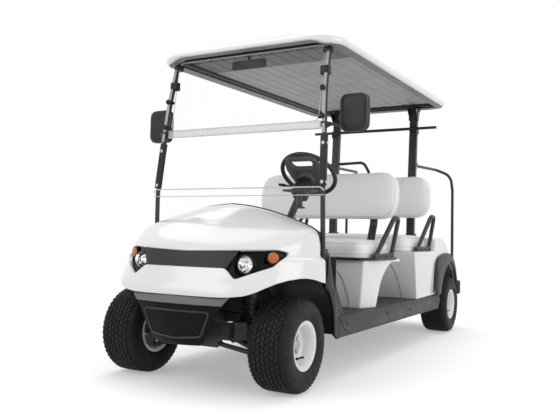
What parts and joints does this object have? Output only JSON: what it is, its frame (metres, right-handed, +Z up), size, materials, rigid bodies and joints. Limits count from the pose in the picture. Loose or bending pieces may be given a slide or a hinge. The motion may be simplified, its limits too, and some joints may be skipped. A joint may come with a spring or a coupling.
{
  "type": "golf cart",
  "caption": "Four-seat electric golf cart with a roof, folding-style split windscreen, two bench seats, steered front wheels and lift-up seat cushions.",
  "frame": {"origin": "on the ground under the middle of the cart's overall length and width", "axes": "+X forward, +Y to the cart's left, +Z up"},
  "size_m": [3.3689, 1.432, 1.926],
  "materials": {
    "white_body": "glossy moulded white",
    "dark_plastic": "grained dark grey",
    "black_plastic": "satin black",
    "black_steel": "satin black powder coat",
    "frame_steel": "black chassis paint",
    "rim_white": "white enamel",
    "bare_steel": "machined",
    "cast_grey": "cast",
    "tyre_rubber": "matt tread rubber",
    "floor_mat": "ribbed mat",
    "seat_vinyl": "pale grey vinyl",
    "clear_screen": "clear acrylic",
    "lamp_glass": "faceted clear lens",
    "amber_lens": "amber lens",
    "bar_aluminium": "satin extrusion",
    "battery_case": "moulded case",
    "liner_grey": "ribbed ceiling"
  },
  "bodies": {
    "chassis": {"chassis_frame": "frame_steel", "front_arms": "frame_steel", "springs": "black_steel", "rear_axle": "cast_grey", "battery_pack": "battery_case", "floor_pan": "floor_mat", "side_covers": "dark_plastic", "cowl": "white_body", "lamp_band": "black_plastic", "headlamps": "lamp_glass", "turn_lamps": "amber_lens", "front_bumper": "black_plastic", "arch_liners": "black_plastic", "dashboard": "dark_plastic", "steering_column": "black_steel", "pedals": "black_steel", "front_posts": "black_steel", "windscreens": "clear_screen", "windscreen_bars": "bar_aluminium", "mirrors": "dark_plastic", "roof_shell": "white_body", "roof_liner": "liner_grey", "roof_frame": "black_steel", "rear_posts": "black_steel", "rear_tubes": "black_steel", "front_seat_base": "white_body", "rear_body": "white_body", "rear_trim": "dark_plastic", "backrests": "seat_vinyl", "backrest_brackets": "black_steel", "armrests": "dark_plastic"},
    "steering_wheel": {"steering_wheel": "dark_plastic"},
    "steering_rack": {"tie_rods": "bare_steel"},
    "knuckle_left": {"knuckle_left": "bare_steel"},
    "knuckle_right": {"knuckle_right": "bare_steel"},
    "front_seat": {"front_cushion": "seat_vinyl"},
    "rear_seat": {"rear_cushion": "seat_vinyl"},
    "wheel_front_left": {"tyre_front_left": "tyre_rubber", "rim_front_left": "rim_white"},
    "wheel_front_right": {"tyre_front_right": "tyre_rubber", "rim_front_right": "rim_white"},
    "wheel_rear_left": {"tyre_rear_left": "tyre_rubber", "rim_rear_left": "rim_white"},
    "wheel_rear_right": {"tyre_rear_right": "tyre_rubber", "rim_rear_right": "rim_white"}
  },
  "joints": [
    {"name": "steering_wheel_turn", "type": "hinge", "parent": "chassis", "child": "steering_wheel", "pos_m": [0.846, 0.284, 1.106], "axis": [-0.6428, 0, 0.766], "range_deg": [-420, 420]},
    {"name": "kingpin_left", "type": "hinge", "parent": "chassis", "child": "knuckle_left", "pos_m": [1.366, 0.35, 0.2285], "axis": [0, 0, 1], "range_deg": [-28.5, 28.5]},
    {"name": "kingpin_right", "type": "hinge", "parent": "chassis", "child": "knuckle_right", "pos_m": [1.366, -0.35, 0.2285], "axis": [0, 0, 1], "range_deg": [-28.5, 28.5]},
    {"name": "rack_slide", "type": "slide", "parent": "chassis", "child": "steering_rack", "axis": [0, 1, 0], "range_m": [-0.055, 0.055]},
    {"name": "spin_front_left", "type": "hinge", "parent": "knuckle_left", "child": "wheel_front_left", "pos_m": [1.366, 0.447, 0.2285], "axis": [0, 1, 0], "continuous": true},
    {"name": "spin_front_right", "type": "hinge", "parent": "knuckle_right", "child": "wheel_front_right", "pos_m": [1.366, -0.447, 0.2285], "axis": [0, 1, 0], "continuous": true},
    {"name": "spin_rear_left", "type": "hinge", "parent": "chassis", "child": "wheel_rear_left", "pos_m": [-1.274, 0.48, 0.2285], "axis": [0, 1, 0], "continuous": true},
    {"name": "spin_rear_right", "type": "hinge", "parent": "chassis", "child": "wheel_rear_right", "pos_m": [-1.274, -0.48, 0.2285], "axis": [0, 1, 0], "continuous": true},
    {"name": "front_seat_lift", "type": "hinge", "parent": "chassis", "child": "front_seat", "pos_m": [0.54, 0, 0.626], "axis": [0, 1, 0], "range_deg": [0, 62]},
    {"name": "rear_seat_lift", "type": "hinge", "parent": "chassis", "child": "rear_seat", "pos_m": [-0.287, 0, 0.669], "axis": [0, 1, 0], "range_deg": [0, 62]}
  ],
  "couplings": [
    {"joint": "kingpin_left", "follows": "steering_wheel_turn", "ratio": 0.066667},
    {"joint": "kingpin_right", "follows": "steering_wheel_turn", "ratio": 0.066667},
    {"joint": "rack_slide", "follows": "steering_wheel_turn", "m_per_rad": -0.007333}
  ]
}
